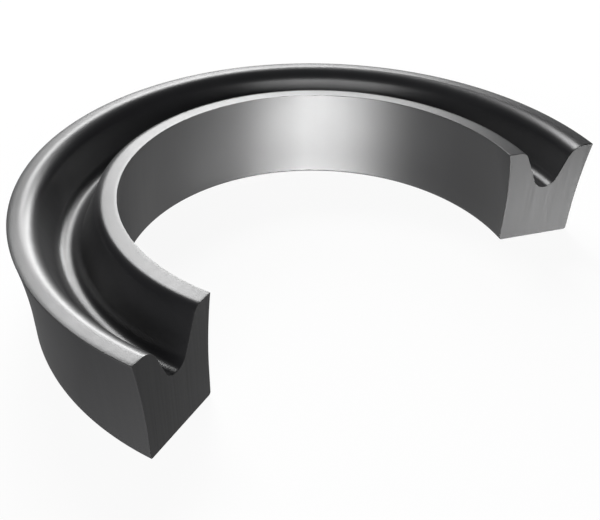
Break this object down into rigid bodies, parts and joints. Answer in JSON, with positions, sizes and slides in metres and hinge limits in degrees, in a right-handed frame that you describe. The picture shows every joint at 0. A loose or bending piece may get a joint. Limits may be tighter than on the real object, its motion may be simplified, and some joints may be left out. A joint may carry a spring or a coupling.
{
  "type": "piston seal",
  "caption": "Sectioned U-cup piston seal: a moulded rubber ring with a lip on each side of a groove, shown with a sector cut out of it.",
  "frame": {"origin": "on the ring's axis, in the plane of the heel's flat face", "axes": "+Z along the ring's axis, from the heel towards the lips, which face the pressure; +Y away from the cut-out sector; +X across the gap"},
  "size_m": [0.051, 0.035, 0.0091],
  "materials": {
    "seal_rubber": "satin moulded rubber, nearly black, with matter knife-cut ends"
  },
  "bodies": {
    "root": {"seal_ring": "seal_rubber"}
  },
  "joints": []
}
